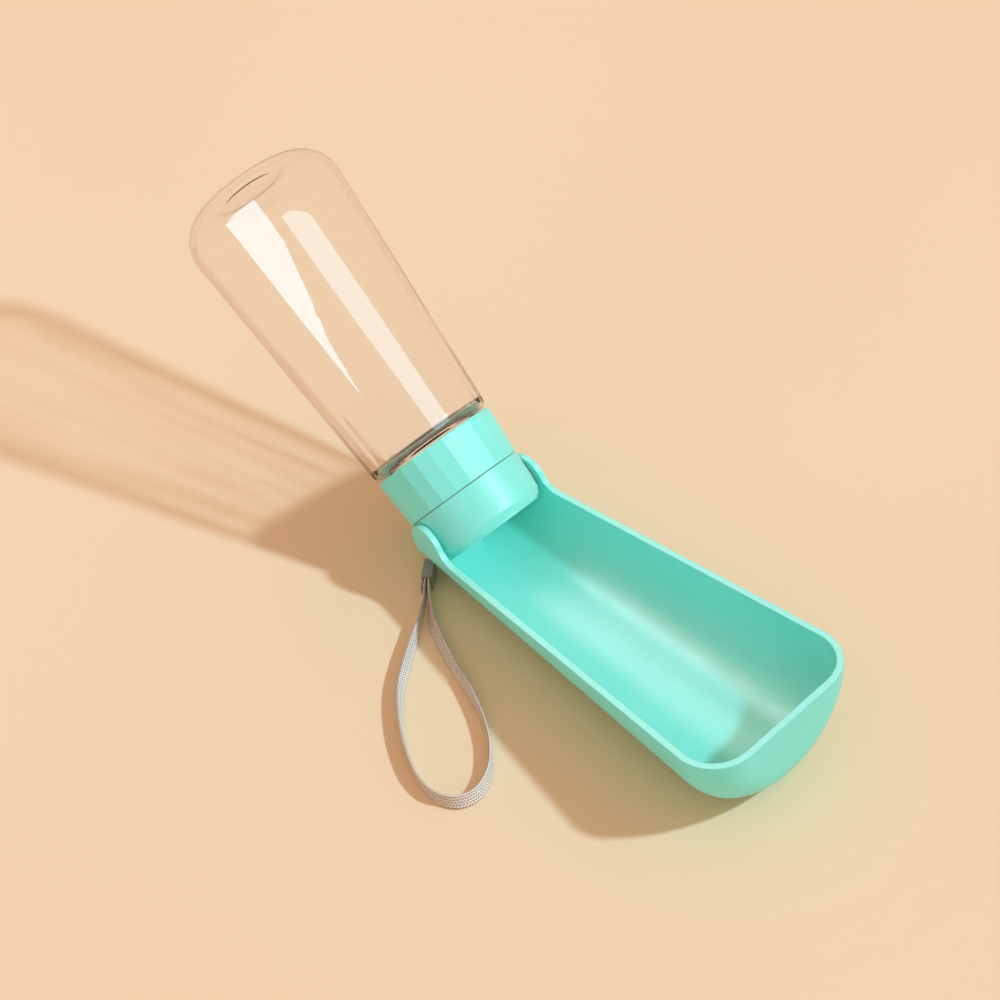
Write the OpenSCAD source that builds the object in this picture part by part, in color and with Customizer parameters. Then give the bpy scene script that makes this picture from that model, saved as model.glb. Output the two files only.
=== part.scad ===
// Dog travel water bottle: a clear bottle on a twist valve cap, hinged to a long drinking trough.
// The trough stands on the flat along its underside and the bottle leans back at its open stop.
// Frame: +Z up, +Y along the trough to its far end, origin on the floor below the hinge axis.

/* [Head cone] */
// Radius of the closed bottle and cap where the hinge axis crosses them
hinge_r = 29.6; // [28:0.1:34]
// Radius gained for each millimetre away from the hinge
flare = 0.066; // [0.04:0.002:0.08]
// Angle between the trough's axis and the bottle's axis at the open stop
open_angle = 138; // [120:0.1:150]

/* [Trough] */
// Gap between the closed bottle and the trough
nest_gap = 0.7; // [0.6:0.05:1.5]
// Wall of the trough
trough_wall = 3; // [2.4:0.1:4]
// Gap between the closed bottle's end and the trough's end wall
end_gap = 2; // [1:0.1:5]
// Outside rounding of the far end
end_round = 20; // [14:0.5:26]
// Drop from the hinge axis to the trough's rim
rim_drop = 2; // [0:0.1:5]
// Rise of the rim away from the trough's own axis towards the far end, in degrees
rim_tilt = 1.4; // [0:0.1:2]
// Radius of the ears that hold the hinge
ear_r = 11; // [9:0.1:11.6]
// Radius of the sweep from each ear down to the rim
ear_sweep_r = 10; // [6:0.5:14]
// Wall of the heel behind the hinge
heel_wall = 4; // [3:0.1:6]
// Drop from the hinge axis to the top of the heel
heel_drop = 22.5; // [20:0.5:26]
// Depth of the flat cut along the underside to stand on
foot_depth = 1; // [0.6:0.1:1.6]

/* [Cap] */
// Distance from the hinge axis to the seam below the twist ring
seam_s = 12; // [11.8:0.1:16]
// Height of the twist ring
ring_h = 24.6; // [22:0.1:30]
// Seam and running gap between the ring and the collar
seam_gap = 0.3; // [0.2:0.05:0.5]
// Chamfer at the ring's top edge
ring_edge = 0.6; // [0.3:0.1:1]
// Least wall of the ring round the threaded liner
ring_wall = 2; // [1.5:0.1:2.6]
// Thickness of the ring's inner flange under the liner
flange_t = 1.7; // [1.4:0.1:2.4]
// Flat facets round the ring and the foot of the bottle
facets = 24; // [18:1:30]
// Distance from the hinge axis to the collar's end face
collar_drop = 10.5; // [9.5:0.1:12]
// Height of the chamfer at the collar's end
chamfer_h = 3.5; // [2.5:0.1:4.5]
// Inward step of the chamfer at the collar's end
chamfer_in = 1.4; // [1:0.1:2.5]
// Wall of the collar round its lower chamber
collar_wall = 2.5; // [2:0.1:3]
// Plate that closes the collar's end, and how far it stands out
outlet_t = 3.2; // [2.6:0.1:4]
// Height that the end plate stands out of the collar
outlet_proud = 1.3; // [0.8:0.1:1.6]
// Radius of the spout hole in the end plate
spout_r = 5; // [3:0.1:8]

/* [Hinge] */
// Radius of the hinge pins
pin_r = 3; // [2:0.1:3.5]
// Length of each hinge pin
pin_l = 11; // [9:0.5:12]
// Depth of the blind holes in the ears
pin_seat = 2; // [1.5:0.1:2.2]
// Running clearance of the pins, on the radius
pin_fit = 0.05; // [0.03:0.01:0.1]
// Thickness of the washers between the collar and the ears
washer_t = 0.5; // [0.3:0.05:0.8]
// Outer radius of the washers
washer_r = 7; // [5:0.1:8.5]

/* [Valve] */
// Floor of the collar's upper chamber, above the hinge axis
seat_s = 4; // [3.8:0.1:5]
// Thickness of that floor
seat_t = 2.4; // [2:0.1:2.6]
// Radius of the collar's upper chamber
chamber_r = 24.2; // [23:0.1:25]
// Thickness of the silicone valve seal
seal_t = 2.2; // [1.6:0.1:2.4]
// Thickness of the valve rotor's disc
rotor_t = 2.4; // [2.2:0.1:3]
// Wall of the rotor's tube
rotor_wall = 3.2; // [2.6:0.1:4]
// Least height of the rotor's tube above its disc
rotor_tube_h = 1; // [0.8:0.1:2]
// Radius of the water ports
port_r = 4.5; // [3:0.1:5.5]
// Distance of the ports from the middle
port_at = 12.5; // [11:0.5:13]
// Radius of the valve screw's shank
screw_r = 2; // [1.5:0.1:2.5]
// Radius of the valve screw's head
screw_head_r = 4.4; // [3.8:0.1:5]
// Height of the valve screw's head
screw_head_h = 2.4; // [1.8:0.1:2.8]
// Thickness of the spring washer under the screw's head
spring_t = 1.2; // [0.8:0.1:1.4]
// Section radius of the rotor's O-ring
o_ring_r = 0.8; // [0.6:0.05:0.9]

/* [Bottle] */
// Length of the bottle from the base to the far end
bottle_len = 151; // [130:1:170]
// Wall of the bottle
bottle_wall = 2.2; // [1.8:0.1:2.8]
// Gap between the ring's top and the bottle's base
base_gap = 0.9; // [0.5:0.1:2]
// Outside rounding at the bottle's base
base_round = 4; // [3:0.1:6]
// Outside rounding at the bottle's far end
bottle_round = 18; // [14:0.5:19]
// Length of the flat facets on the foot of the bottle
facet_len = 78; // [40:1:100]
// Radius of the recess in the far end
dimple_r = 20.5; // [16:0.5:22]
// Depth of the recess in the far end
dimple_depth = 2.5; // [1.5:0.1:3.5]
// Outer radius of the neck
neck_r = 24.4; // [23.6:0.1:24.6]
// Height of the thread ridge
thread_h = 1.1; // [0.8:0.05:1.2]
// Rise of the thread for each turn
thread_pitch = 4; // [3:0.25:4]
// Turns of thread on the neck
thread_turns = 1.75; // [1.25:0.25:2]
// Clearance between the thread and the liner, on the radius
thread_fit = 0.4; // [0.3:0.05:0.6]
// Wall of the threaded liner
liner_wall = 1.6; // [1.4:0.1:2]
// Thickness of the liner's web
web_t = 2.4; // [2:0.1:3]
// Thickness of the neck seal
neck_seal_t = 1.8; // [1.4:0.1:2.2]
// Width that the neck seal and the liner's web show inside the neck's bore
neck_lip = 1.5; // [0.5:0.1:2.5]

/* [Strap] */
// Width of the woven strap
strap_w = 7; // [5:0.5:8]
// Thickness of the woven strap
strap_t = 1; // [0.8:0.1:1.2]
// Direction of the strap's sleeve, from +X towards +Y
strap_dir = 40; // [30:1:45]
// Sideways place of the lug on the heel
lug_x = 10; // [8:0.5:12]
// Thickness of the lug
lug_t = 2.2; // [1.8:0.1:2.4]
// Radius of the lug's hole
lug_hole_r = 1.5; // [1.4:0.05:1.7]
// Radius of the cord between the lug and the sleeve
cord_r = 0.7; // [0.5:0.05:0.75]
// Distance from the lug's hole to the sleeve
sleeve_at = 20.3; // [20:0.1:21.5]
// Length of the sleeve
sleeve_l = 11; // [10:0.1:12.5]
// Wall of the sleeve
sleeve_wall = 0.8; // [0.6:0.1:1]
// Sag of the cord between the lug and the sleeve
cord_sag = 1.2; // [1.1:0.1:1.4]
// Depth of the cord's ends in the sleeve
cord_seat = 4.4; // [3:0.1:5]

/* [Hidden] */
$fn = 96;
// Small gap between faces that seat on each other
seat_gap = 0.05;
// Gap between curved faces that move past each other
run_gap = 0.3;
// Swell of a rounding, so that it crosses the lines that it joins at a clear angle
round_swell = 0.02;
// Step of the upright walls in from the round shell that they stand on, inside and outside
wall_step = 0.05;
// Overshoot of a cut past the face that it opens
over = 1;
// Turn of the trough's round surfaces, so that where each closes on itself is low on its side
seam_turn = 50;
// Larger than anything that a cut has to clear
big = 500;

teal = [0.42, 0.87, 0.79];
clear = [0.95, 0.92, 0.90, 0.35];
silicone = [0.85, 0.87, 0.87];
steel = [0.75, 0.76, 0.78];
grey = [0.55, 0.55, 0.55];
white = [0.9, 0.89, 0.87];

// The closed head is one cone. s is the distance from the hinge axis along it.
function cone_at(s) = hinge_r + flare * s;
function bowl_at(y) = cone_at(y) + nest_gap;
cone_angle = atan(flare);

// Places along the bottle's axis
ring_s = seam_s + seam_gap / 2;
collar_s = seam_s - seam_gap / 2;
ring_top_s = ring_s + ring_h;
base_s = ring_top_s + base_gap;
end_s = base_s + bottle_len;
seal_s = seat_s + seat_t;
rotor_s = seal_s + seal_t + seat_gap;
web_s = max(ring_s + flange_t, rotor_s + rotor_t + rotor_tube_h);
neck_seal_s = web_s + web_t;
mouth_s = neck_seal_s + neck_seal_t + seat_gap;

// Trough sizes
trough_len = end_s + end_gap + trough_wall;
trough_r = bowl_at(0) + trough_wall;
scoop_r = norm([collar_drop + outlet_proud, cone_at(-collar_drop) - chamfer_in]) + run_gap + 0.4;
heel_r = scoop_r + heel_wall;
foot_pitch = cone_angle;
hinge_h = trough_r * cos(foot_pitch) - foot_depth;
ear_in = bowl_at(0);
washer_room = 0.6;
sweep_y = sqrt(pow(ear_r + ear_sweep_r, 2) - pow(ear_sweep_r - rim_drop, 2));

// Cap sizes
flat_x = ear_in - washer_t - 2 * seat_gap;
flat_r = ear_r + 1;
collar_end_r = cone_at(-collar_drop) - chamfer_in;
lower_r = cone_at(-collar_drop) - collar_wall;
plate_r = min(lower_r, collar_end_r - 0.9) - seat_gap;
plate_in = outlet_t - outlet_proud;
rotor_r = chamber_r - run_gap;
o_ring_at = chamber_r - seat_gap - o_ring_r;
pin_boss_r = pin_r + 2.4;
pin_in_x = ear_in + pin_seat - pin_l;

// Neck and liner sizes
neck_in = neck_r - bottle_wall;
throat_r = neck_in - neck_lip;
liner_in = neck_r + thread_h + thread_fit;
liner_r = liner_in + liner_wall;
ring_in = liner_r + seat_gap;

// The ring follows the cone, and swells past it where a wide neck needs the room
function ring_at(s) = max(cone_at(s), (ring_in + ring_wall) / cos(180 / facets));

// Strap places
lug_roof = 7;
lug_foot = 0.5;
lug_half = 3.8;
lug_root = 9;
lug_hole_h = 2.8;
lug_y = -sqrt(heel_r * heel_r - pow(hinge_h - lug_roof, 2));
lug_turn_r = lug_t / 2 + cord_r + 0.2;
cord_half = 0.9;
cord_fit = 0.2;
sleeve_low = 0.4;
sleeve_h = strap_w + 0.4 + 2 * sleeve_wall;
sleeve_half = strap_t + 0.7 + sleeve_wall;
sleeve_block = 5.2;
sleeve_tab = 4;
mouth_at = sleeve_at + sleeve_l;
mouth = [lug_x + mouth_at * cos(strap_dir), lug_y + mouth_at * sin(strap_dir)];
// Height of the strap's middle line in the sleeve and on the floor
strap_hi = sleeve_low + sleeve_h / 2;
strap_lo = strap_w / 2 + 0.2;
// Route of the strap in plan, counted from the sleeve's mouth
strap_route = [
    [-3.55, -3.75], [2, 1], [9, 8], [20.5, 17], [34, 26.5], [48, 37.5], [59, 50], [68.5, 64.5],
    [75, 79.5], [76.5, 93], [72, 102.5], [62.5, 106], [51.5, 101.5], [42.5, 92], [35.5, 80.5],
    [30, 66.5], [25, 50], [19.5, 33.5], [13.5, 19], [7, 10], [0.8, 2.3], [-4.35, -2.8]
];
// Distance from the mouth over which the strap sinks to the floor
strap_sink = 25;

// Places the trough: its axis starts at the hinge and is pitched up so that its underside is level.
module trough_pose() {
    translate([0, 0, hinge_h]) rotate([foot_pitch, 0, 0]) children();
}

// Places what is drawn along +Z from the hinge axis on the bottle's axis.
module head_pose() {
    translate([0, 0, hinge_h]) rotate([open_angle + foot_pitch - 90, 0, 0]) children();
}

// Lays what is drawn along +X from the lug's hole along the strap's sleeve.
module strap_pose() {
    translate([lug_x, lug_y, 0]) rotate([0, 0, strap_dir]) children();
}

// Half outline of the cone between two planes, inset by a wall, with rounded corners.
module cone_outline(z0, z1, inset, round0, round1, gap = 0) {
    c0 = [cone_at(z0 + round0) + gap - inset - round0 / cos(cone_angle), z0 + round0];
    c1 = [cone_at(z1 - round1) + gap - inset - round1 / cos(cone_angle), z1 - round1];
    out = [cos(cone_angle), -sin(cone_angle)];
    polygon([[0, z0], [c0[0], z0], c0 + round0 * out, c1 + round1 * out, [c1[0], z1], [0, z1]]);
    if (round0 > 0) translate(c0) circle(round0 + round_swell);
    if (round1 > 0) translate(c1) circle(round1 + round_swell);
}

// The same cone as a solid.
module cone_body(z0, z1, inset, round0, round1, gap = 0) {
    rotate_extrude() intersection() {
        cone_outline(z0, z1, inset, round0, round1, gap);
        translate([0, z0]) square([big, z1 - z0]);
    }
}

// Flat cuts round the cone from one height to another, full at the low end and running out at the high end.
module facet_cuts(low, high) {
    in_low = cone_at(low) * cos(180 / facets);
    tilt = atan((cone_at(high) - in_low) / (high - low));
    half_w = cone_at(high) * tan(180 / facets) + over;
    for (i = [0 : facets - 1]) rotate([0, 0, (i + 0.5) * 360 / facets])
        translate([in_low, 0, low]) rotate([0, tilt, 0])
            translate([0, -half_w, -over]) cube([half_w, 2 * half_w, (high - low) + over]);
}

// Side view of what the trough keeps, level with its rim: y along, z up.
module trough_side() {
    difference() {
        union() {
            circle(ear_r);
            translate([0, -big]) square([big, big - rim_drop]);
            polygon([[0, 0], [ear_r * 0.93, ear_r * 0.3], [sweep_y, 2], [sweep_y, -rim_drop], [0, -rim_drop]]);
            polygon([[0, 0], [-ear_r * 0.73, -ear_r * 0.68], [-heel_r * 0.76, -heel_drop], [-big, -heel_drop],
                [-big, -big], [0, -big]]);
        }
        translate([sweep_y, ear_sweep_r - rim_drop]) circle(ear_sweep_r);
    }
}

// Plan of the cone through its axis: both halves, joined by a strip along the middle.
module cone_plan(z0, z1, inset, round1, gap) {
    translate([-1, z0]) square([2, z1 - z0]);
    for (half = [0, 1]) mirror([half, 0]) intersection() {
        cone_outline(z0, z1, inset, 0, round1, gap);
        translate([0, z0]) square([big, z1 - z0]);
    }
}

// Upright walls above the level of the trough's axis: the ears, and the side and end walls up to the rim.
module upper_walls() {
    translate([0, 0, -over]) linear_extrude(height = ear_r + 2 * over) difference() {
        cone_plan(-ear_r, trough_len - wall_step, wall_step - trough_wall, end_round - wall_step, nest_gap);
        cone_plan(-ear_r - over, trough_len - trough_wall + wall_step, -wall_step,
            end_round - trough_wall + wall_step, nest_gap);
        translate([-ear_in, -big]) square([2 * ear_in, big]);
    }
}

// The cone's lower half from behind the heel to the far end.
module trough_shell() {
    intersection() {
        rotate([-90, 0, 0]) rotate([0, 0, seam_turn])
            cone_body(-heel_r, trough_len, -trough_wall, 0, end_round, nest_gap);
        translate([-big, -big, -big]) cube([2 * big, 2 * big, big]);
        union() {
            translate([-big, 0, -big]) cube([2 * big, big, 2 * big]);
            rotate([0, 90, 0]) cylinder(r = heel_r, h = 2 * big, center = true);
        }
    }
}

// The hollow that the closed head lies in and the dog drinks from.
module trough_hollow() {
    intersection() {
        rotate([-90, 0, 0]) rotate([0, 0, seam_turn])
            cone_body(-heel_r, trough_len - trough_wall, 0, 0, end_round - trough_wall, nest_gap);
        union() {
            translate([-big, 0, -big]) cube([2 * big, big, 2 * big]);
            rotate([0, 90, 0]) cylinder(r = scoop_r, h = 2 * big, center = true);
        }
    }
}

// Upright plate with the cord's hole, on a root that runs into the heel.
module strap_lug() {
    hole_top = lug_hole_h + lug_hole_r;
    difference() {
        union() {
            translate([-lug_half, -lug_t / 2, lug_foot]) cube([2 * lug_half, lug_t, lug_roof - lug_foot]);
            translate([0, -lug_t / 2, hole_top]) cube([lug_root, lug_t, lug_roof - hole_top]);
        }
        translate([0, 0, lug_hole_h]) rotate([90, 0, 0])
            cylinder(r = lug_hole_r, h = lug_t + 2 * over, center = true);
    }
}

module trough() {
    color(teal) difference() {
        union() {
            trough_pose() intersection() {
                rotate([rim_tilt, 0, 0]) rotate([90, 0, 90])
                    linear_extrude(height = 2 * big, center = true) trough_side();
                union() {
                    difference() {
                        trough_shell();
                        trough_hollow();
                    }
                    upper_walls();
                }
            }
            difference() {
                strap_pose() strap_lug();
                trough_pose() rotate([0, 90, 0]) cylinder(r = scoop_r + 1, h = 2 * big, center = true);
            }
        }
        translate([-big, -big, -big]) cube([2 * big, 2 * big, big]);
        // Blind pin holes, and flat seats for the washers
        for (side = [-1, 1]) translate([side * (ear_in + pin_seat / 2), 0, hinge_h]) rotate([0, 90, 0])
            cylinder(r = pin_r + pin_fit, h = pin_seat + 2 * seat_gap, center = true);
        translate([0, 0, hinge_h]) rotate([0, 90, 0])
            cylinder(r = washer_r + washer_room, h = 2 * (ear_in + seat_gap), center = true);
    }
}

module collar_blank() {
    rotate_extrude() polygon([
        [0, -collar_drop], [collar_end_r, -collar_drop],
        [cone_at(-collar_drop + chamfer_h), -collar_drop + chamfer_h],
        [cone_at(collar_s), collar_s], [0, collar_s]
    ]);
}

// Two water ports, turned by an angle about the bottle's axis.
module ports(low, high, turn) {
    for (i = [0, 1]) rotate([0, 0, turn + 180 * i]) translate([port_at, 0, low - over])
        cylinder(r = port_r, h = high - low + 2 * over);
}

module hinge_collar() {
    color(teal) head_pose() difference() {
        collar_blank();
        // Upper chamber, lower chamber and the seat of the end plate
        translate([0, 0, seal_s]) cylinder(r = chamber_r, h = big);
        difference() {
            translate([0, 0, -collar_drop - over]) cylinder(r = lower_r, h = collar_drop + over + seat_s);
            for (side = [-1, 1]) rotate([0, side * 90, 0])
                translate([0, 0, pin_in_x]) cylinder(r = pin_boss_r, h = big);
            translate([0, 0, -collar_drop + plate_in]) difference() {
                cylinder(r = lower_r + over, h = 1.4);
                translate([0, 0, -over]) cylinder(r = plate_r - 1.2, h = 1.4 + 2 * over);
            }
        }
        translate([0, 0, -collar_drop - over]) cylinder(r = plate_r + seat_gap, h = plate_in + over);
        // Screw hole and ports in the floor between the chambers
        cylinder(r = screw_r + run_gap, h = big);
        ports(seat_s, seal_s, 0);
        // Pin holes, and flats that clear the ears
        rotate([0, 90, 0]) cylinder(r = pin_r, h = 2 * big, center = true);
        for (side = [-1, 1]) rotate([0, side * 90, 0]) translate([0, 0, flat_x])
            cylinder(r = flat_r, h = big);
    }
}

module outlet_plate() {
    color(teal) head_pose() translate([0, 0, -collar_drop - outlet_proud]) difference() {
        union() {
            cylinder(r1 = plate_r - outlet_proud / 2, r2 = plate_r, h = outlet_proud / 2);
            translate([0, 0, outlet_proud / 2]) cylinder(r = plate_r, h = outlet_t - outlet_proud / 2);
        }
        translate([0, 0, -over]) cylinder(r = spout_r + 1.5, h = outlet_t + 2 * over);
    }
}

module outlet_seal() {
    color(silicone) head_pose() translate([0, 0, -collar_drop - outlet_proud]) difference() {
        union() {
            cylinder(r = spout_r + 1.5 - seat_gap, h = outlet_t);
            translate([0, 0, outlet_t + seat_gap]) cylinder(r = spout_r + 3, h = 1);
            translate([0, 0, outlet_t - 0.5]) cylinder(r = spout_r + 1.5 - seat_gap, h = 1);
        }
        translate([0, 0, -over]) cylinder(r = spout_r, h = outlet_t + 2 * over + 1);
    }
}

module hinge_pin(side) {
    color(steel) translate([0, 0, hinge_h]) rotate([0, side * 90, 0]) translate([0, 0, pin_in_x])
        cylinder(r = pin_r, h = pin_l - seat_gap);
}

module hinge_washer(side) {
    color(white) translate([0, 0, hinge_h]) rotate([0, side * 90, 0])
        translate([0, 0, flat_x + seat_gap]) difference() {
            cylinder(r = washer_r, h = washer_t);
            translate([0, 0, -over]) cylinder(r = pin_r + pin_fit, h = washer_t + 2 * over);
        }
}

module valve_seal() {
    color(silicone) head_pose() difference() {
        translate([0, 0, seal_s + seat_gap / 2]) cylinder(r = chamber_r - 0.2, h = seal_t - seat_gap / 2);
        cylinder(r = screw_r + run_gap, h = big);
        ports(seal_s, rotor_s, 0);
    }
}

module valve_rotor() {
    groove_s = rotor_s + rotor_t / 2;
    color(grey) head_pose() difference() {
        translate([0, 0, rotor_s]) cylinder(r = rotor_r, h = web_s - rotor_s);
        translate([0, 0, rotor_s + rotor_t]) cylinder(r = rotor_r - rotor_wall, h = big);
        cylinder(r = screw_r + pin_fit, h = big);
        ports(rotor_s, rotor_s + rotor_t, 90);
        rotate_extrude() translate([o_ring_at - o_ring_r - seat_gap, groove_s - o_ring_r - seat_gap])
            square([4, 2 * (o_ring_r + seat_gap)]);
    }
}

module rotor_o_ring() {
    color(silicone) head_pose() translate([0, 0, rotor_s + rotor_t / 2]) rotate_extrude()
        translate([o_ring_at, 0]) circle(o_ring_r, $fn = 24);
}

module valve_screw() {
    head_s = seat_s - seat_gap * 2 - spring_t - screw_head_h;
    color(steel) head_pose() translate([0, 0, head_s]) difference() {
        union() {
            cylinder(r = screw_head_r, h = screw_head_h);
            cylinder(r = screw_r, h = rotor_s + rotor_t - head_s);
        }
        for (a = [0, 90]) rotate([0, 0, a]) translate([-2.2, -0.4, -over]) cube([4.4, 0.8, 1.2 + over]);
    }
}

module spring_washer() {
    color(steel) head_pose() translate([0, 0, seat_s - seat_gap - spring_t]) difference() {
        cylinder(r = screw_head_r + 0.4, h = spring_t);
        translate([0, 0, -over]) cylinder(r = screw_r + 0.2, h = spring_t + 2 * over);
    }
}

// Cone with flat sides, through rings of corners given as [height, radius].
module faceted_cone(levels) {
    n = facets;
    last = n * (len(levels) - 1);
    pts = [for (l = levels) for (i = [0 : n - 1]) [l[1] * cos(360 * i / n), l[1] * sin(360 * i / n), l[0]]];
    walls = [for (k = [0 : len(levels) - 2]) for (i = [0 : n - 1])
        let (a = n * k + i, b = n * k + (i + 1) % n) [a, a + n, b + n, b]];
    polyhedron(pts, concat(walls, [[for (i = [0 : n - 1]) i]], [[for (i = [0 : n - 1]) last + n - 1 - i]]));
}

module twist_ring() {
    color(teal) head_pose() difference() {
        faceted_cone([[ring_s, ring_at(ring_s)], [ring_top_s - ring_edge, ring_at(ring_top_s - ring_edge)],
            [ring_top_s, ring_at(ring_top_s) - ring_edge]]);
        translate([0, 0, web_s]) cylinder(r = ring_in, h = big);
        translate([0, 0, ring_s - over]) cylinder(r = rotor_r + run_gap, h = big);
    }
}

module thread_liner() {
    color(grey) head_pose() difference() {
        translate([0, 0, web_s]) cylinder(r = liner_r, h = ring_top_s - 0.5 - web_s);
        translate([0, 0, neck_seal_s]) cylinder(r = liner_in, h = big);
        translate([0, 0, web_s - over]) cylinder(r = throat_r, h = big);
    }
}

module neck_seal() {
    color(silicone) head_pose() translate([0, 0, neck_seal_s + seat_gap / 2]) difference() {
        cylinder(r = liner_in - 0.2, h = neck_seal_t);
        translate([0, 0, -over]) cylinder(r = throat_r, h = neck_seal_t + 2 * over);
    }
}

// Helical ridge on the neck: a tapered strip, faded in at both ends, swept by its own rule.
module neck_thread() {
    steps = 24;
    rings = floor(steps * thread_turns);
    rise = thread_pitch / steps;
    low = mouth_s + 2.2;
    root = neck_r - 0.3;
    function fade(i) = min(1, i / 3, (rings - i) / 3);
    function ring_pts(i) = let (a = 360 * i / steps, z = low + rise * i, crest = root + 0.3 + thread_h * fade(i))
        [for (p = [[root, -1], [crest, -0.4], [crest, 0.4], [root, 1]]) [p[0] * cos(a), p[0] * sin(a), z + p[1]]];
    pts = [for (i = [0 : rings]) each ring_pts(i)];
    quads = [for (i = [0 : rings - 1]) for (j = [0 : 3])
        let (a = 4 * i + j, b = 4 * i + (j + 1) % 4) each [[a, b + 4, b], [a, a + 4, b + 4]]];
    last = 4 * rings;
    polyhedron(pts, concat(quads, [[0, 1, 2], [0, 2, 3], [last + 3, last + 2, last + 1], [last + 3, last + 1, last]]));
}

module bottle() {
    inner_end = end_s - bottle_wall;
    color(clear) head_pose() difference() {
        union() {
            difference() {
                cone_body(base_s, end_s, 0, base_round, bottle_round);
                facet_cuts(base_s - over, base_s + facet_len);
            }
            translate([0, 0, mouth_s]) cylinder(r = neck_r, h = base_s - mouth_s + over);
            neck_thread();
        }
        difference() {
            cone_body(base_s + bottle_wall, inner_end, bottle_wall, base_round - bottle_wall, bottle_round - bottle_wall);
            translate([0, 0, inner_end - dimple_depth]) cylinder(r = dimple_r + bottle_wall, h = big);
        }
        translate([0, 0, end_s - dimple_depth]) cylinder(r1 = dimple_r, r2 = dimple_r + over, h = dimple_depth + over);
        translate([0, 0, mouth_s - over]) cylinder(r = neck_in, h = base_s - mouth_s + bottle_wall + 2 * over);
    }
}

// Sweep of a flat or round section along a route that lies about level. Width runs up.
function bow(p0, p1, p2, p3, t) =
    0.5 * (2 * p1 + (p2 - p0) * t + (2 * p0 - 5 * p1 + 4 * p2 - p3) * t * t
    + (3 * p1 - p0 - 3 * p2 + p3) * t * t * t);
function smooth_route(r, n) = let (m = len(r) - 1)
    [for (i = [0 : m - 1]) for (k = [0 : n - 1])
        bow(r[max(i - 1, 0)], r[i], r[i + 1], r[min(i + 2, m)], k / n), r[m]];
function level_side(r, i) = let (m = len(r) - 1, d = r[min(i + 1, m)] - r[max(i - 1, 0)])
    [-d[1], d[0], 0] / norm([d[0], d[1]]);

module sweep_level(route, section) {
    n = len(section);
    m = len(route) - 1;
    pts = [for (i = [0 : m]) let (side = level_side(route, i))
        for (p = section) route[i] + p[0] * side + [0, 0, p[1]]];
    walls = [for (i = [0 : m - 1]) for (j = [0 : n - 1])
        let (a = n * i + j, b = n * i + (j + 1) % n) each [[a, b, b + n], [a, b + n, a + n]]];
    low_end = [for (j = [1 : n - 2]) [0, j + 1, j]];
    high_end = [for (j = [1 : n - 2]) [n * m, n * m + j, n * m + j + 1]];
    polyhedron(pts, concat(walls, low_end, high_end));
}

module strap_cord() {
    turn = [for (i = [0 : 6]) let (a = -90 + 30 * i)
        [lug_turn_r * (1 - cos(a)), lug_turn_r * sin(a), lug_hole_h]];
    tail = [
        [sleeve_at + cord_seat, cord_half, lug_hole_h], [sleeve_at - 0.5, cord_half, lug_hole_h],
        [sleeve_at * 0.6, cord_half + 0.5, lug_hole_h - cord_sag],
        [sleeve_at * 0.32, cord_half + 0.8, lug_hole_h - cord_sag]
    ];
    route = concat([for (p = tail) [p[0], -p[1], p[2]]], turn, [for (i = [3 : -1 : 0]) tail[i]]);
    section = [for (i = [0 : 7]) cord_r * [cos(45 * i), sin(45 * i)]];
    color(white) strap_pose() sweep_level(route, section);
}

module strap_sleeve() {
    color(grey) strap_pose() difference() {
        union() {
            translate([sleeve_at, -sleeve_half, sleeve_low]) cube([sleeve_l, 2 * sleeve_half, sleeve_h]);
            translate([mouth_at - over, -sleeve_half, sleeve_low])
                cube([sleeve_tab + over, sleeve_wall, sleeve_h * 0.6]);
        }
        translate([sleeve_at + sleeve_block, sleeve_wall - sleeve_half, sleeve_low + sleeve_wall])
            cube([sleeve_l, 2 * (sleeve_half - sleeve_wall), sleeve_h - 2 * sleeve_wall]);
        translate([sleeve_at - over, -cord_half - cord_r - cord_fit, lug_hole_h - cord_r - cord_fit])
            cube([cord_seat + run_gap + over, 2 * (cord_half + cord_r + cord_fit), 2 * (cord_r + cord_fit)]);
    }
}

module strap() {
    function sink(p) = min(1, max(0, (p[0] * cos(strap_dir) + p[1] * sin(strap_dir)) / strap_sink));
    route = [for (p = strap_route) [mouth[0] + p[0], mouth[1] + p[1], strap_hi + (strap_lo - strap_hi) * sink(p)]];
    w = strap_w / 2;
    t = strap_t / 2;
    section = [[t, -w + t], [t, w - t], [t / 2, w], [-t / 2, w], [-t, w - t], [-t, t - w], [-t / 2, -w], [t / 2, -w]];
    color(white) sweep_level(smooth_route(route, 3), section);
}

trough();
hinge_collar();
outlet_plate();
outlet_seal();
hinge_pin(1);  // hinge_pin_left
hinge_pin(-1);  // hinge_pin_right
hinge_washer(1);  // hinge_washer_left
hinge_washer(-1);  // hinge_washer_right
valve_seal();
valve_rotor();
rotor_o_ring();
valve_screw();
spring_washer();
twist_ring();
thread_liner();
neck_seal();
bottle();
strap_cord();
strap_sleeve();
strap();
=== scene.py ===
"""Looks of the dog travel water bottle: clear bottle, teal cap and trough, woven wrist strap."""

import math

import bpy
from mathutils import Matrix, Vector


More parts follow.
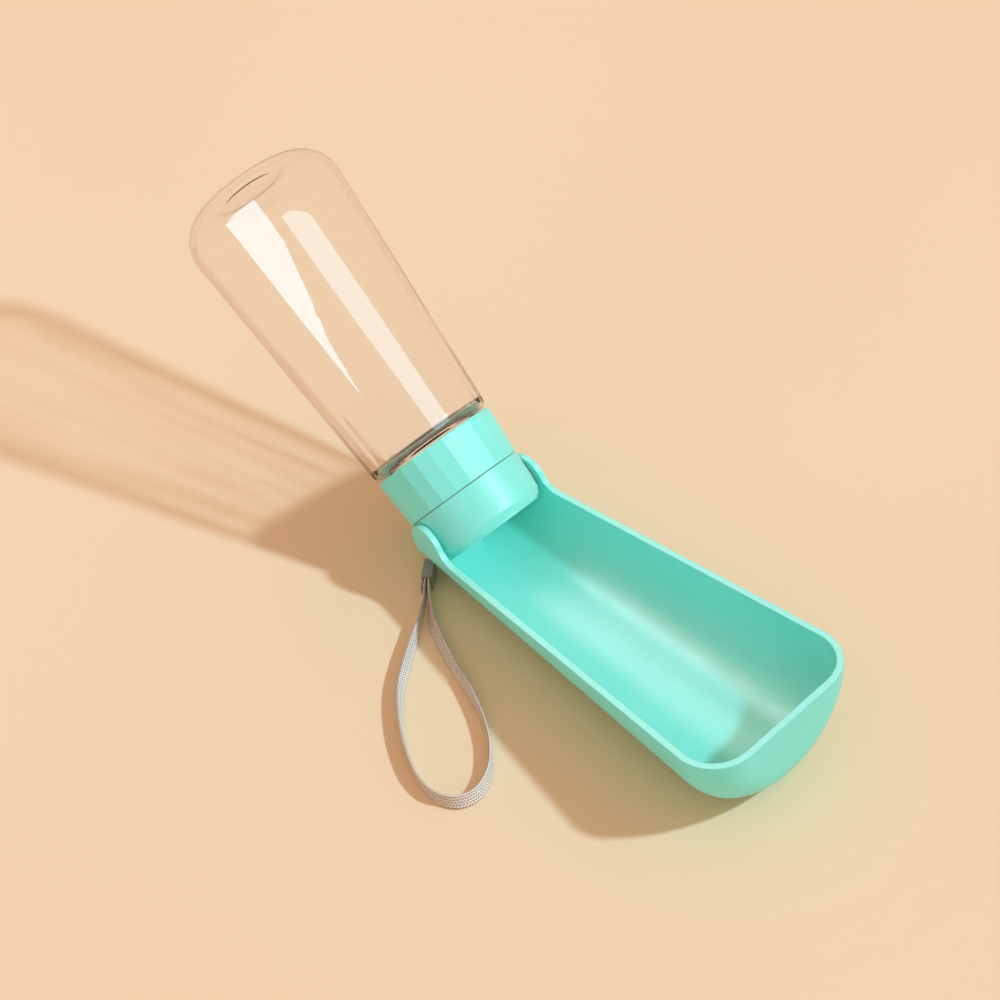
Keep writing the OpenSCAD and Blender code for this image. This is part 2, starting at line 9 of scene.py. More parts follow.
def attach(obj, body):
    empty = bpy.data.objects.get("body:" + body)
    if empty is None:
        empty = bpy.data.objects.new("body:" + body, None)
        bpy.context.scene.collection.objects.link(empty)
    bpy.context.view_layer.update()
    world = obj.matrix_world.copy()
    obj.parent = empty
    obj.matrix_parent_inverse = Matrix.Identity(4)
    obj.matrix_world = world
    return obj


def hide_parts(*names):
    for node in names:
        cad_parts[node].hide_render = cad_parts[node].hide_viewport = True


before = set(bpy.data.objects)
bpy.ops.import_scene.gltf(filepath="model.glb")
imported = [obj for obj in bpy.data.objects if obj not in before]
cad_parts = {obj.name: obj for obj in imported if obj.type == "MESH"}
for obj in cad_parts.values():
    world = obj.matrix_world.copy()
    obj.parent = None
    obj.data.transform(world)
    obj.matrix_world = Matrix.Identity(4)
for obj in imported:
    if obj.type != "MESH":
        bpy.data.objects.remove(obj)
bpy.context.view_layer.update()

# Lengths are in millimetres and angles in degrees, unless a comment says otherwise.
MM = 0.001

# Camera: its place, and its right, down and forward directions
CAMERA_AT = (320.4, 446.229, 606.644)
CAMERA_RIGHT = (-0.735208, 0.671301, -0.093937)
CAMERA_DOWN = (0.535688, 0.490503, -0.687347)
CAMERA_AHEAD = (-0.41534, -0.555664, -0.720229)
FOCAL = 1.67524  # of the frame's width
SENSOR = 36.0
CLIP = (0.01, 50.0)  # metres

# Key light. Its strength is the same at any distance, and goes with KEY_SLANT over the vertical part of the
# ray's direction, of which LEAST_SLANT is the least that counts. So it lights the whole floor alike.
KEY_AT = (-359.0, 558.0, 599.0)
KEY_R = 26.0
KEY_STRENGTH = 2.25
KEY_COLOUR = (0.63, 0.84, 0.98)
KEY_SLANT = 0.72
LEAST_SLANT = 0.05

# Colour of the fill all round, and the screen colour that shows past the floor's end
FILL_COLOUR = (0.73, 0.47, 0.34, 1.0)
SEEN_COLOUR = (241, 214, 180)

# Soft lights, in metres: the point that they aim at, and for each its direction from there, its distance, its
# width and height, and the direction of its height
LIGHTS_AIM = (0.0, -0.09, 0.10)
BOTTLE_AXIS = (0.0, -0.7856, 0.6187)
RIGHT_WINDOW = ((-0.143, 0.667, 0.735), 1.5, (0.95, 0.52), BOTTLE_AXIS)
LEFT_WINDOW = ((0.763, 0.236, 0.636), 1.5, (1.34, 0.60), (0.112, -0.856, 0.505))
CARD = ((0.46, -0.54, 0.70), 1.6, (0.4, 1.6), (0, 1, 0))
SKY = ((-0.35, -0.45, 0.82), 1.8, (1.6, 1.8), (0, 1, 0))
SIDE = ((0.75, 0.55, 0.35), 1.5, (1.5, 1.0), (0, 0, 1))

# Half the floor's side, in metres
FLOOR_HALF = 8.0

# Screen colours
TEAL = (126, 229, 217)
GREY = (150, 151, 152)
WHITE = (232, 232, 228)
SLEEVE_GREY = (150, 149, 148)
# The dark colours of strap and cord are painted shade in the gaps between their yarns
STRAP_LIGHT, STRAP_GAP_SHADE = (248, 246, 243), (136, 127, 118)
CORD_LIGHT, CORD_GAP_SHADE = (232, 231, 228), (170, 168, 164)
FLOOR_DEEP, FLOOR_PALE = (236, 219, 186), (240, 224, 192)

TEAL_NODES = ("trough", "hinge_collar", "outlet_plate", "twist_ring")
SEAL_NODES = ("outlet_seal", "valve_seal", "rotor_o_ring", "neck_seal")
GREY_NODES = ("valve_rotor", "thread_liner")
WHITE_NODES = ("hinge_washer_left", "hinge_washer_right")
STEEL_NODES = ("hinge_pin_left", "hinge_pin_right", "valve_screw", "spring_washer")

# Head cone and bottle, as in the part's source. An s counts along the bottle's axis from the hinge.
HINGE_H = 32.2277
LEAN = 51.7761  # of the axis from upright
HINGE_R = 29.6  # of the cone at the hinge
FLARE = 0.066  # growth of the cone's radius along the axis
MOUTH_S, BASE_S, END_S = 18.1, 37.65, 188.65
NECK_R = 24.4
WALL = 2.2
LIP_R = 0.6
BASE_ROUND = 4.0
INNER_ROUND = BASE_ROUND - WALL + 2.4
END_ROUND = 18.0
# Flat facets at the foot, their reach up the wall, and how softly they run out
FACETS = 24
FACET_LEN = 78.0
FACET_BLEND = 0.10
POINTS_PER_FACET = 10
# Recess in the far end: outer radius, radius of its flat, depth, and width and points of the step round it
RECESS_R, RECESS_FLAT_R = 21.1, 8.2
RECESS_DEPTH = 1.1
RECESS_STEP = 6.0
RECESS_POINTS = 12
# Thread: height, pitch, turns, start above the mouth, half width of its foot, and width of its flank
THREAD_H = 1.08
THREAD_PITCH = 4.0
THREAD_TURNS = 1.75
THREAD_START = 2.2
THREAD_HALF = 1.1
THREAD_FLANK = 0.6
THREAD_FADE = 8  # it fades in and out over an eighth of a turn

# Strap: width, thickness, height of its middle at the sleeve and farther on, and how far it takes to sink
STRAP_W, STRAP_T = 7.0, 1.0
STRAP_HI, STRAP_LO, STRAP_SINK = 4.9, 3.7, 25.0
# Half of its section: part of the half thickness, and height
STRAP_HALF = [
    (0.86, -2.1), (0.80, -1.05), (0.80, 1.05), (0.86, 2.1), (0.98, 2.7), (0.85, 3.2), (0.4, 3.46),
    (-0.4, 3.46), (-0.85, 3.2), (-0.98, 2.7),
]
# How far its upper edge leans out of the loop, by the part of its length
STRAP_ROLL = [
    (0, 0), (0.08, 0), (0.22, 22), (0.38, 0), (0.5, -24), (0.64, 0), (0.82, 32), (0.94, 0), (1, 0),
]
# Its route in plan, counted from the sleeve's mouth
STRAP_MOUTH = (33.977, -3.606)
STRAP_ROUTE = [
    (-3.55, -3.75), (2, 1), (9, 8), (20.5, 17), (34, 26.5), (48, 37.5), (59, 50), (68.5, 64.5),
    (75, 79.5), (76.5, 93), (72, 102.5), (62.5, 106), (51.5, 101.5), (42.5, 92), (35.5, 80.5),
    (30, 66.5), (25, 50), (19.5, 33.5), (13.5, 19), (7, 10), (0.8, 2.3), (-4.35, -2.8),
]

# Lug and sleeve: the lug's place and direction in plan, its hole's height, and the sleeve's distance from it
LUG_AT = (10.0, -23.725)
LUG_TURN = 40.0
LUG_HOLE_H = 2.8
SLEEVE_AT = 20.3
# Cord: radius, half the distance of its ends, sag, depth in the sleeve, and radius of its turn in the lug
CORD_R, CORD_HALF, CORD_SAG, CORD_SEAT, CORD_TURN_R = 0.69, 0.9, 1.2, 4.4, 2
CORD_SIDES = 12


# Colours

def srgb(r, g, b):
    """Linear colour from 8-bit screen values."""
    def lin(c):
        c /= 255
        return c / 12.92 if c <= 0.04045 else ((c + 0.055) / 1.055) ** 2.4
    return (lin(r), lin(g), lin(b), 1.0)


def grey(v):
    return (v, v, v, 1.0)


def mix_rgb(a, b, t):
    return tuple(a[i] + (b[i] - a[i]) * t for i in range(3)) + (1.0,)


# Node helpers, for materials, the world and lights alike

def add(owner, kind, **values):
    """A node. Each value sets a property or an input, or is a socket that feeds that input."""
    tree = owner.node_tree
    node = tree.nodes.new(kind)
    node.location = (180 * len(tree.nodes), 0)  # side by side, in the order of their making
    for key, value in values.items():
        if isinstance(value, bpy.types.NodeSocket):
            tree.links.new(value, node.inputs[key])
        elif key in node.inputs:
            node.inputs[key].default_value = value
        else:
            setattr(node, key, value)
    return node


def math_node(owner, operation, *values):
    node = add(owner, "ShaderNodeMath", operation=operation)
    for i, value in enumerate(values):
        if isinstance(value, bpy.types.NodeSocket):
            owner.node_tree.links.new(value, node.inputs[i])
        else:
            node.inputs[i].default_value = value
    return node.outputs[0]


def mix_shader(owner, fac, first, second):
    node = add(owner, "ShaderNodeMixShader", Fac=fac)
    for i, shader in ((1, first), (2, second)):
        owner.node_tree.links.new(shader, node.inputs[i])
    return node.outputs["Shader"]


def noise(owner, vector, scale, detail, roughness):
    node = add(owner, "ShaderNodeTexNoise", Vector=vector, Scale=scale, Detail=detail, Roughness=roughness)
    return node.outputs["Fac"]


def ramp(owner, fac, low, high):
    """Colour ramp between two stops, each a position and a colour."""
    node = add(owner, "ShaderNodeValToRGB", Fac=fac)
    for stop, (position, colour) in zip(node.color_ramp.elements, (low, high)):
        stop.position = position
        stop.color = colour
    return node.outputs["Color"]


def bump(owner, height, strength, distance, **normal):
    node = add(owner, "ShaderNodeBump", Height=height, Strength=strength, Distance=distance, **normal)
    return node.outputs["Normal"]


def ripple(owner, value):
    """Size of the sine: one rounded bump for each pi."""
    return math_node(owner, "ABSOLUTE", math_node(owner, "SINE", value))


def new_material(name):
    """An empty node material, and the object's own coordinates in it."""
    m = bpy.data.materials.new(name)
    m.use_nodes = True
    m.node_tree.nodes.clear()
    return m, add(m, "ShaderNodeTexCoord").outputs["Object"]


def principled(m, **values):
    """Principled shader whose inputs are named with _ for a space."""
    inputs = {key.replace("_", " "): value for key, value in values.items()}
    return add(m, "ShaderNodeBsdfPrincipled", **inputs).outputs["BSDF"]


def show(m, **shaders):
    add(m, "ShaderNodeOutputMaterial", **shaders)
    return m


# Materials

def moulded_plastic(name, colour, rough=0.34, edge=0.5, grain=0.25, sss=0.0, depth=2.0):
    """Satin injection-moulded plastic: faint cloudy colour, fine spark-eroded grain, soft edges."""
    m, at = new_material(name)
    cloud = noise(m, at, scale=22.0, detail=3.0, roughness=0.5)
    flow = noise(m, at, scale=90.0, detail=2.0, roughness=0.6)
    fine = noise(m, at, scale=2600.0, detail=2.0, roughness=0.55)
    darker, paler = mix_rgb(colour, (0, 0, 0), 0.035), mix_rgb(colour, (1, 1, 1), 0.02)
    soft = add(m, "ShaderNodeBevel", Radius=edge * MM, samples=6).outputs["Normal"]
    return show(m, Surface=principled(
        m, IOR=1.49, Subsurface_Weight=sss, Subsurface_Radius=(0.4, 1.0, 0.9), Subsurface_Scale=depth * MM,
        Base_Color=ramp(m, cloud, (0.3, darker), (0.7, paler)),
        Roughness=ramp(m, flow, (0.25, grey(rough - 0.03)), (0.75, grey(rough + 0.05))),
        Normal=bump(m, fine, strength=grain, distance=0.02 * MM, Normal=soft)))


def clear_plastic():
    """Clear bottle plastic, rosy where it is seen edge on, with slow mould waves in the wall."""
    m, at = new_material("clear_plastic")
    facing = add(m, "ShaderNodeLayerWeight", Blend=0.5).outputs["Facing"]
    scuff = noise(m, at, scale=60.0, detail=4.0, roughness=0.6)
    wave = noise(m, at, scale=16.0, detail=1.5, roughness=0.4)
    seen = principled(
        m, Transmission_Weight=1.0, IOR=1.5,
        Base_Color=ramp(m, facing, (0.6, (0.995, 0.988, 0.985, 1.0)), (0.97, (0.86, 0.72, 0.77, 1.0))),
        Roughness=ramp(m, scuff, (0.4, grey(0.0)), (0.8, grey(0.03))),
        Normal=bump(m, wave, strength=0.25, distance=0.4 * MM))
    # Light passes the thin walls, less where they stand edge on or in streaks along the bottle. So the shadow
    # is pale, with darker rims.
    along = add(m, "ShaderNodeMapping", vector_type="TEXTURE", Vector=at,
                Rotation=(math.radians(LEAN), 0, 0), Scale=(1.0, 1.0, 25.0)).outputs["Vector"]
    streak = noise(m, along, scale=220.0, detail=1.0, roughness=0.5)
    edge_on = math_node(m, "POWER", facing, 2.2)
    dark = math_node(m, "ADD", edge_on, math_node(m, "MULTIPLY_ADD", streak, 2.0, -0.92))
    shade = ramp(m, dark, (0.12, (0.99, 0.98, 0.965, 1.0)), (0.9, (0.55, 0.48, 0.42, 1.0)))
    passed = add(m, "ShaderNodeBsdfTransparent", Color=shade).outputs["BSDF"]
    path = add(m, "ShaderNodeLightPath").outputs
    through = math_node(m, "MAXIMUM", path["Is Shadow Ray"], path["Is Diffuse Ray"])
    # The plastic takes up a little light, which shows where the view runs along a wall
    depth = add(m, "ShaderNodeVolumeAbsorption", Color=(0.62, 0.30, 0.42, 1.0), Density=14.0)
    return show(m, Surface=mix_shader(m, through, seen, passed), Volume=depth.outputs["Volume"])


def steel():
    """Turned steel with fine streaks."""
    m, at = new_material("pin_steel")
    streak = noise(m, at, scale=900.0, detail=3.0, roughness=0.6)
    return show(m, Surface=principled(
        m, Metallic=1.0,
        Base_Color=ramp(m, streak, (0.3, grey(0.52)), (0.7, grey(0.68))),
        Roughness=ramp(m, streak, (0.3, grey(0.22)), (0.7, grey(0.36)))))


def webbing(name, light, dark, thread=1.35, across=1.4):
    """Woven ribbon, with thread and across as the lengths of one stitch along and across it."""
    m, at = new_material(name)
    lengths = add(m, "ShaderNodeUVMap", uv_map="lengths").outputs["UV"]
    run, side = add(m, "ShaderNodeSeparateXYZ", Vector=lengths).outputs[:2]
    # Columns of stitches, which lean one way and the other by turns
    warp = ripple(m, math_node(m, "MULTIPLY", side, math.pi / across))
    column = math_node(m, "PINGPONG", side, across)
    straight = math_node(m, "MULTIPLY", run, math.pi / thread)
    weft = ripple(m, math_node(m, "MULTIPLY_ADD", column, math.pi / thread, straight))
    yarn = math_node(m, "MULTIPLY", math_node(m, "POWER", warp, 0.5), math_node(m, "POWER", weft, 0.7))
    fuzz = noise(m, at, scale=1800.0, detail=3.0, roughness=0.6)
    soil = noise(m, at, scale=55.0, detail=3.0, roughness=0.5)
    height = math_node(m, "ADD", yarn, math_node(m, "MULTIPLY", fuzz, 0.35))
    # Painted shade: the colour darkens where the yarns dip into the gaps between them, with faint soil
    # mottling on top
    shade = math_node(m, "ADD", yarn, math_node(m, "MULTIPLY", soil, 0.2))
    return show(m, Surface=principled(
        m, Sheen_Weight=0.25, Sheen_Roughness=0.5, Specular_IOR_Level=0.3,
        Base_Color=ramp(m, shade, (0.35, dark), (0.85, light)),
        Roughness=ramp(m, height, (0.2, grey(0.85)), (0.8, grey(0.6))),
        Normal=bump(m, height, strength=0.8, distance=0.25 * MM)))


def floor_material():
    m, at = new_material("floor")
    slow = noise(m, at, scale=1.6, detail=2.0, roughness=0.5)
    return show(m, Surface=principled(
        m, Roughness=0.75, Specular_IOR_Level=0.15,
        Base_Color=ramp(m, slow, (0.3, srgb(*FLOOR_DEEP)), (0.7, srgb(*FLOOR_PALE)))))


# Mesh helpers

def new_object(name, data):
    ob = bpy.data.objects.new(name, data)
    bpy.context.scene.collection.objects.link(ob)
    return ob


def mesh_object(name, verts, faces, material, smooth=True):
    me = bpy.data.meshes.new(name)
    me.from_pydata([tuple(v) for v in verts], [], faces)
    me.validate()
    me.update()
    for p in me.polygons:
        p.use_smooth = smooth
    me.materials.append(material)
    return new_object(name, me)


def arc(cr, cs, r, a0, a1, n):
    """Points of a fillet as (s, radius), from angle a0 to a1, where 0 points outward."""
    pts = []
    for i in range(n + 1):
        a = math.radians(a0 + (a1 - a0) * i / n)
        pts.append((cs + r * math.sin(a), cr + r * math.cos(a)))
    return pts


def line(p, q, n):
    """Points between p and q, without either, in n steps."""
    return [(p[0] + (q[0] - p[0]) * i / n, p[1] + (q[1] - p[1]) * i / n) for i in range(1, n)]


def soft_min(a, b, k):
    h = max(0.0, min(1.0, 0.5 + 0.5 * (b - a) / k))
    return b + (a - b) * h - k * h * (1 - h)


def turned(x, y, angle):
    """A place in plan, turned about the origin."""
    c, s = math.cos(math.radians(angle)), math.sin(math.radians(angle))
    return c * x - s * y, s * x + c * y


# Bottle

def head_matrix():
    """From the bottle's own axis, in millimetres, to the frame."""
    return (Matrix.Translation((0, 0, HINGE_H * MM)) @ Matrix.Rotation(math.radians(LEAN), 4, "X")
            @ Matrix.Scale(MM, 4))


def cone_at(s):
    return HINGE_R + FLARE * s


def facet_radius(s, r, angle):
    """Radius of the outer wall with flat facets at the foot that run out into the round cone."""
    if s > BASE_S + FACET_LEN:
        return r
    step = 2 * math.pi / FACETS
    off = (angle / step - 0.5) % 1.0
    off = (off if off < 0.5 else off - 1.0) * step
    low = cone_at(BASE_S) * math.cos(step / 2)
    high = cone_at(BASE_S + FACET_LEN)
    plane = low + (high - low) * (s - BASE_S) / FACET_LEN
    return min(r, soft_min(r, plane / math.cos(off), FACET_BLEND))


def thread_radius(s, r, angle):
    """Radius of the neck with its helical thread ridge, faded in and out."""
    best = 0.0
    for k in range(math.ceil(THREAD_TURNS) + 1):
        t = k + angle / (2 * math.pi)
        if t <= THREAD_TURNS:
            fade = min(1.0, t * THREAD_FADE, (THREAD_TURNS - t) * THREAD_FADE)
            off = abs(s - (MOUTH_S + THREAD_START + THREAD_PITCH * t))
            best = max(best, fade * max(0.0, min(1.0, (THREAD_HALF - off) / THREAD_FLANK)))
    return r + THREAD_H * best


def bottle_profile():
    """Closed section of the bottle as (s, radius, kind), from the mouth up the outside and back inside, and
    how many of its points are outside."""
    slope = math.degrees(math.atan(FLARE))
    pts = []

    def run(kind, points):
        pts.extend((s, r, kind) for s, r in points)

    def inside_cone(s, inset):
        """Radius and s of a point this far in from the cone."""
        return cone_at(s) - inset / math.cos(math.radians(slope)), s

    # Neck, its lip and a small fillet at its root
    root = (BASE_S - 0.8, NECK_R)
    run("neck", arc(NECK_R - LIP_R, MOUTH_S + LIP_R, LIP_R, -90, 0, n=4))
    run("neck", line((MOUTH_S + LIP_R, NECK_R), root, n=44) + [root])
    run("plain", [(BASE_S - 0.25, NECK_R + 0.2), (BASE_S, NECK_R + 0.8)])
    # Base, wall and far end
    base = inside_cone(BASE_S + BASE_ROUND, BASE_ROUND)
    end = inside_cone(END_S - END_ROUND, END_ROUND)
    top = arc(*end, END_ROUND, -slope, 90, n=28)
    run("wall", [(BASE_S, base[0] - 0.6)] + arc(*base, BASE_ROUND, -90, -slope, n=12))
    run("wall", line(pts[-1], top[0], n=60) + top)
    # Recess in the far end, with a soft step all round
    step = [(END_S - RECESS_DEPTH * (0.5 - 0.5 * math.cos(math.pi * i / RECESS_POINTS)),
             RECESS_R - RECESS_STEP * i / RECESS_POINTS) for i in range(RECESS_POINTS + 1)]
    run("plain", step + [(END_S - RECESS_DEPTH, RECESS_FLAT_R)])
    outside = len(pts)
    # Inside, back to the mouth
    run("plain", [(END_S - RECESS_DEPTH - WALL, RECESS_FLAT_R)])
    run("plain", [(s - WALL, r + 0.6) for s, r in reversed(step)])
    run("plain", arc(*end, END_ROUND - WALL, 90, -slope, n=24))
    inner = inside_cone(BASE_S + WALL + INNER_ROUND, WALL + INNER_ROUND)
    low = arc(*inner, INNER_ROUND, -slope, -90, n=14)
    run("plain", line(pts[-1], low[0], n=40) + low)
    bore = NECK_R - WALL
    run("plain", [(BASE_S + WALL, bore + 1.0), (BASE_S + WALL - 0.5, bore + 0.1)])
    run("plain", line((BASE_S + WALL - 1, bore), (MOUTH_S + 0.5, bore), n=8))
    run("plain", [(MOUTH_S + 0.5, bore), (MOUTH_S, bore + 0.5)])
    return pts, outside


def make_bottle(material):
    around = FACETS * POINTS_PER_FACET
    profile, outside = bottle_profile()
    shapes = {"wall": facet_radius, "neck": thread_radius}
    verts, faces = [], []
    for s, r, kind in profile:
        for i in range(around):
            a = 2 * math.pi * i / around
            rr = shapes[kind](s, r, a) if kind in shapes else r
            verts.append((rr * math.cos(a), rr * math.sin(a), s))
    rings = len(profile)
    for k in range(rings):
        if k == outside - 1:
            continue
        a, b = k * around, ((k + 1) % rings) * around
        for i in range(around):
            j = (i + 1) % around
            faces.append((a + i, a + j, b + j, b + i))
    # Middle of the recess, outside and inside
    for ring, flip in ((outside - 1, False), (outside, True)):
        mid = len(verts)
        verts.append((0, 0, profile[ring][0]))
        for i in range(around):
            p, q = ring * around + i, ring * around + (i + 1) % around
            faces.append((q, p, mid) if flip else (p, q, mid))
    m = head_matrix()
    return mesh_object("bottle_shell", [m @ Vector(v) for v in verts], faces, material)


# Strap and cord

def bow(p0, p1, p2, p3, t):
    """Point at part t between p1 and p2 of a smooth curve through all four."""
    return [0.5 * (2 * b + (c - a) * t + (2 * a - 5 * b + 4 * c - d) * t * t
                   + (3 * b - a - 3 * c + d) * t ** 3)
            for a, b, c, d in zip(p0, p1, p2, p3)]


def smooth_route(pts, steps):
    """Smooth path in metres through the points, with this many steps between each two."""
    m = len(pts) - 1
    out = []
    for i in range(m):
        for k in range(steps):
            out.append(bow(pts[max(i - 1, 0)], pts[i], pts[i + 1], pts[min(i + 2, m)], k / steps))
    out.append(pts[m])
    return [Vector(p) * MM for p in out]


def strap_route():
    pts = []
    for x, y in STRAP_ROUTE:
        away = turned(x, y, -LUG_TURN)[0]
        sink = min(1.0, max(0.0, away / STRAP_SINK))
        pts.append((STRAP_MOUTH[0] + x, STRAP_MOUTH[1] + y, STRAP_HI + (STRAP_LO - STRAP_HI) * sink))
    return smooth_route(pts, steps=10)


def run_lengths(path):
    total, out = 0.0, [0.0]
    for a, b in zip(path, path[1:]):
        total += (b - a).length
        out.append(total)
    return out


def roll_at(t):
    """How far the ribbon's upper edge leans out of the loop, in radians, at part t of its route."""
    for (t0, a0), (t1, a1) in zip(STRAP_ROLL, STRAP_ROLL[1:]):
        if t <= t1:
            k = (t - t0) / (t1 - t0)
            return math.radians(a0 + (a1 - a0) * k * k * (3 - 2 * k))


def no_roll(t):
    return 0.0


def sweep(name, path, section, material, roll):
    """Section of (side, up) points swept along the path. UVs hold lengths in millimetres."""
    n = len(section)
    verts, faces = [], []
    m = len(path) - 1
    for i, p in enumerate(path):
        d = path[min(i + 1, m)] - path[max(i - 1, 0)]
        side = Vector((-d.y, d.x, 0)).normalized()
        c, s = math.cos(roll(i / m)), math.sin(roll(i / m))
        for sx, sz in section:
            verts.append(p + side * (sx * c - sz * s) + Vector((0, 0, sx * s + sz * c)))
    for i in range(m):
        for j in range(n):
            a, b = n * i + j, n * i + (j + 1) % n
            faces.append((a, b, b + n, a + n))
    faces.append(tuple(reversed(range(n))))
    faces.append(tuple(range(n * m, n * m + n)))
    ob = mesh_object(name, verts, faces, material)
    run = run_lengths(path)
    girth = run_lengths([Vector(p) for p in section + section[:1]])
    uv = ob.data.uv_layers.new(name="lengths")
    for f, poly in enumerate(ob.data.polygons[:m * n]):
        i, j = divmod(f, n)
        ends = ((i, j), (i, j + 1), (i + 1, j + 1), (i + 1, j))
        for loop, (ii, jj) in zip(poly.loop_indices, ends):
            uv.data[loop].uv = (run[ii] / MM, girth[jj] / MM)
    return ob


def make_strap(material):
    """Flat woven ribbon with slightly fuller edges."""
    path = strap_route()
    half = [(x * STRAP_T / 2 * MM, z * MM) for x, z in STRAP_HALF]
    ob = sweep("strap_ribbon", path, half + [(-x, -z) for x, z in half], material, roll_at)
    length = run_lengths(path)[-1]
    return ob


def make_cord(material):
    """Thin cord from the sleeve through the lug and back."""
    angles = [math.radians(a) for a in range(-90, 91, 30)]
    turn = [(CORD_TURN_R * (1 - math.cos(a)), CORD_TURN_R * math.sin(a), LUG_HOLE_H) for a in angles]
    low = LUG_HOLE_H - CORD_SAG
    tail = [(SLEEVE_AT + CORD_SEAT, CORD_HALF, LUG_HOLE_H), (SLEEVE_AT - 0.5, CORD_HALF, LUG_HOLE_H),
            (SLEEVE_AT * 0.6, CORD_HALF + 0.5, low), (SLEEVE_AT * 0.32, CORD_HALF + 0.8, low)]
    pts = []
    for x, y, z in [(x, -y, z) for x, y, z in tail] + turn + tail[::-1]:
        tx, ty = turned(x, y, LUG_TURN)
        pts.append((LUG_AT[0] + tx, LUG_AT[1] + ty, z))
    path = smooth_route(pts, steps=4)
    round_angles = [2 * math.pi * i / CORD_SIDES for i in range(CORD_SIDES)]
    section = [(CORD_R * MM * math.cos(a), CORD_R * MM * math.sin(a)) for a in round_angles]
    ob = sweep("strap_lug_cord", path, section, material, no_roll)
    length = run_lengths(path)[-1]
    return ob


# Stage

def make_floor():
    h = FLOOR_HALF
    ob = mesh_object("floor", [(-h, -h, 0), (h, -h, 0), (h, h, 0), (-h, h, 0)], [(0, 1, 2, 3)],
                     floor_material(), smooth=False)


def make_world():
    """Even fill. What is seen past the floor's end, plainly, mirrored or through glass, has its colour."""
    world = bpy.data.worlds.new("studio")
    bpy.context.scene.world = world
    world.use_nodes = True
    world.node_tree.nodes.clear()
    fill = add(world, "ShaderNodeBackground", Color=FILL_COLOUR).outputs["Background"]
    seen = add(world, "ShaderNodeBackground", Color=srgb(*SEEN_COLOUR)).outputs["Background"]
    path = add(world, "ShaderNodeLightPath").outputs
    mirrored = math_node(world, "MAXIMUM", path["Is Camera Ray"], path["Is Glossy Ray"])
    any_view = math_node(world, "MAXIMUM", mirrored, path["Is Transmission Ray"])
    add(world, "ShaderNodeOutputWorld", Surface=mix_shader(world, any_view, fill, seen))


def key_light():
    data = bpy.data.lights.new("key", "POINT")
    data.energy = 4 * math.pi * KEY_STRENGTH
    data.color = KEY_COLOUR
    data.shadow_soft_size = KEY_R * MM
    data.use_nodes = True
    data.node_tree.nodes.clear()
    ray = add(data, "ShaderNodeTexCoord").outputs["Normal"]
    down = math_node(data, "ABSOLUTE", add(data, "ShaderNodeSeparateXYZ", Vector=ray).outputs["Z"])
    even = math_node(data, "DIVIDE", KEY_SLANT, math_node(data, "MAXIMUM", down, LEAST_SLANT))
    falloff = add(data, "ShaderNodeLightFalloff", Strength=even).outputs["Constant"]
    glow = add(data, "ShaderNodeEmission", Strength=falloff).outputs["Emission"]
    add(data, "ShaderNodeOutputLight", Surface=glow)
    new_object("key", data).location = [v * MM for v in KEY_AT]


def soft_light(name, place, radiance, colour, lit, gloss=True):
    """Rectangular light on some pieces alone, for their gloss, or for their shade if gloss is False."""
    towards, distance, (width, height), up = place
    data = bpy.data.lights.new(name, "AREA")
    data.shape = "RECTANGLE"
    data.size, data.size_y = width, height
    data.energy = radiance * math.pi * width * height
    data.color = colour
    ob = new_object(name, data)
    back = Vector(towards).normalized()
    up = Vector(up)
    up = (up - back * up.dot(back)).normalized()
    turn = Matrix((up.cross(back), up, back)).transposed()
    ob.matrix_world = Matrix.Translation(Vector(LIGHTS_AIM) + back * distance) @ turn.to_4x4()
    ob.visible_diffuse = not gloss
    ob.visible_glossy = gloss
    ob.visible_transmission = False
    ob.light_linking.receiver_collection = bpy.data.collections.new(name)
    for piece in lit:
        ob.light_linking.receiver_collection.objects.link(piece)


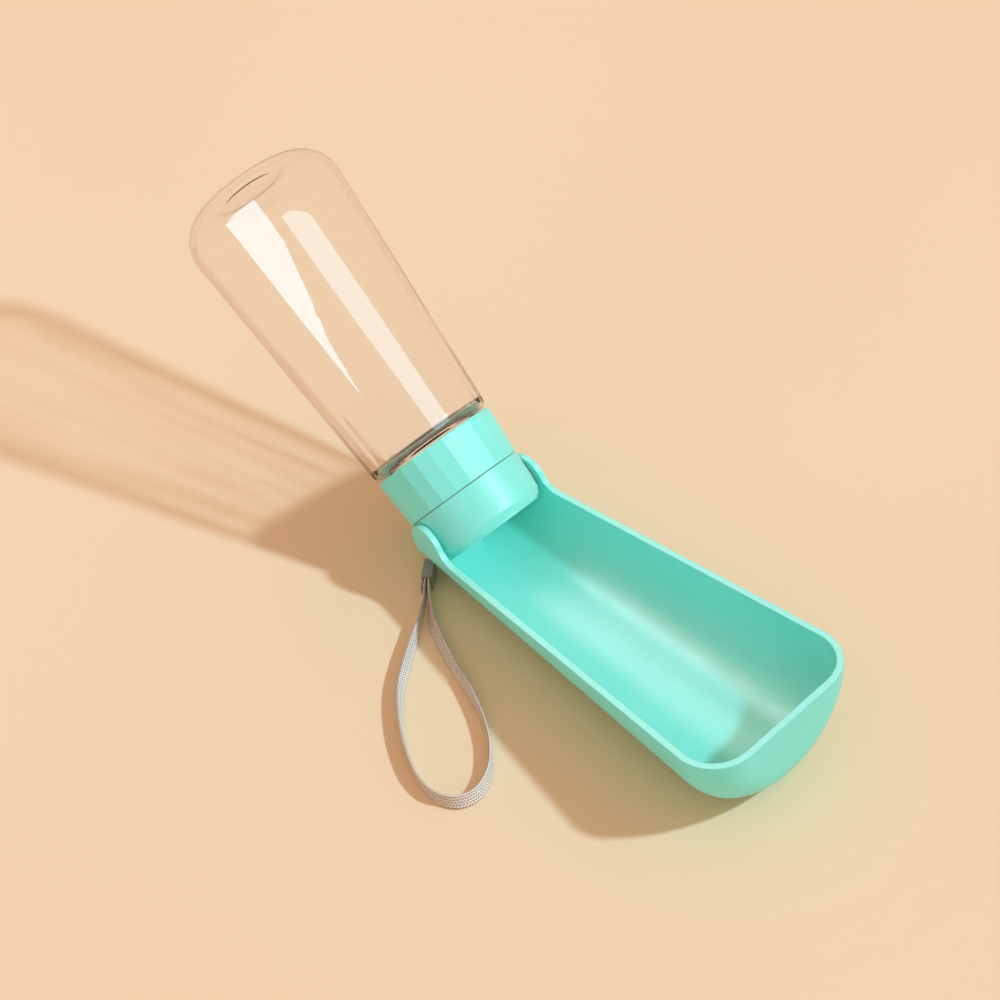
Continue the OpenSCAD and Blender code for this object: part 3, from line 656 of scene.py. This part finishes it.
def make_lights(shell):
    key_light()
    make_world()
    teal = [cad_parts[node] for node in TEAL_NODES]
    # Windows that show on the bottle, and the same two on the teal parts
    soft_light("window", RIGHT_WINDOW, radiance=6.6, colour=(0.42, 0.78, 1.0), lit=[shell])
    soft_light("side_window", LEFT_WINDOW, radiance=10.5, colour=(0.32, 0.74, 1.0), lit=[shell])
    soft_light("teal_window", RIGHT_WINDOW, radiance=3.6, colour=(1.0, 0.82, 0.72), lit=teal)
    soft_light("teal_side_window", LEFT_WINDOW, radiance=4.0, colour=(0.8, 0.9, 1.0), lit=teal)
    # Sheen inside the trough, and light on its shaded side
    soft_light("card", CARD, radiance=24.0, colour=(0.98, 0.98, 1.0), lit=teal)
    soft_light("sky", SKY, radiance=5.0, colour=(1.0, 0.98, 0.98), lit=teal)
    soft_light("side_fill", SIDE, radiance=1.2, colour=(0.0, 0.70, 0.88), lit=teal, gloss=False)


def make_camera():
    data = bpy.data.cameras.new("camera")
    data.sensor_fit = "HORIZONTAL"
    data.sensor_width = SENSOR
    data.lens = FOCAL * SENSOR
    data.clip_start, data.clip_end = CLIP
    ob = new_object("camera", data)
    turn = Matrix((Vector(CAMERA_RIGHT), -Vector(CAMERA_DOWN), -Vector(CAMERA_AHEAD))).transposed()
    ob.matrix_world = Matrix.Translation(Vector(CAMERA_AT) * MM) @ turn.to_4x4()
    bpy.context.scene.camera = ob


def dress(nodes, material):
    """Give CAD nodes that keep their shape a better material."""
    for node in nodes:
        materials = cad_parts[node].data.materials
        materials.clear()
        materials.append(material)


def main():
    bpy.context.scene.view_settings.view_transform = "Standard"
    make_camera()
    strap = make_strap(webbing("woven_strap", srgb(*STRAP_LIGHT), srgb(*STRAP_GAP_SHADE)))
    cord = make_cord(webbing("cord_white", srgb(*CORD_LIGHT), srgb(*CORD_GAP_SHADE), thread=0.6, across=0.7))
    for piece, node in ((strap, "strap"), (cord, "strap_cord")):
        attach(piece, "trough")
        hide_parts(node)
    shell = make_bottle(clear_plastic())
    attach(shell, "bottle")
    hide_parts("bottle")
    dress(TEAL_NODES, moulded_plastic("teal_plastic", srgb(*TEAL), rough=0.40, sss=0.3, depth=4.0))
    dress(GREY_NODES, moulded_plastic("grey_plastic", srgb(*GREY), rough=0.45))
    dress(SEAL_NODES, moulded_plastic("silicone", (0.72, 0.75, 0.75, 1.0), rough=0.55, edge=0.3,
                                      grain=0.15, sss=0.2))
    dress(STEEL_NODES, steel())
    dress(WHITE_NODES, moulded_plastic("white_plastic", srgb(*WHITE), rough=0.4))
    dress(("strap_sleeve",), moulded_plastic("sleeve_grey", srgb(*SLEEVE_GREY), rough=0.28, edge=0.3))
    make_floor()
    make_lights(shell)


main()
